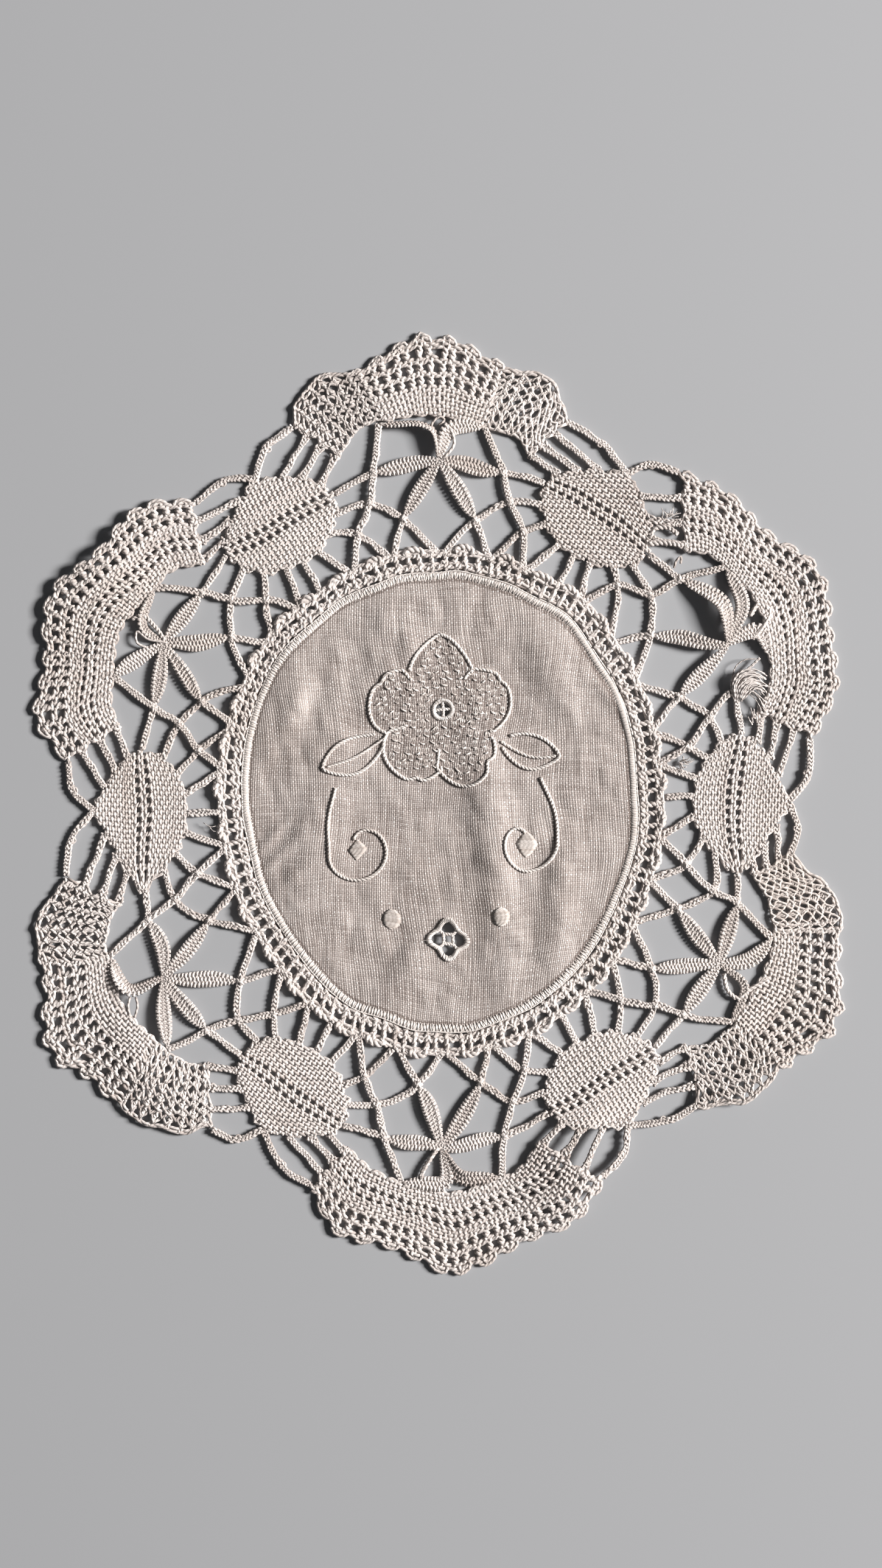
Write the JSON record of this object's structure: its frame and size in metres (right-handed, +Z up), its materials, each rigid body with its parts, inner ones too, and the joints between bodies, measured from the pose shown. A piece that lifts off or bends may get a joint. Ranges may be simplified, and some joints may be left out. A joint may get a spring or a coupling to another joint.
{
  "type": "lace doily",
  "caption": "Flat oval doily: hemmed embroidered linen centre inside a wide scalloped bobbin-lace edging with fans, ovals and petal flowers.",
  "frame": {"origin": "on the surface it lies on, under the middle of the doily's plan", "axes": "+Z up off the surface; +Y along the doily's longer side, towards the top of the embroidered flower; +X to its right seen from above"},
  "size_m": [0.1458, 0.168, 0.0028],
  "materials": {
    "linen": "plain-weave linen, warm ivory, matt",
    "lace_thread": "twisted linen lace thread, ecru, matt"
  },
  "bodies": {
    "root": {"linen_centre": "linen", "lace_edging": "lace_thread"}
  },
  "joints": []
}
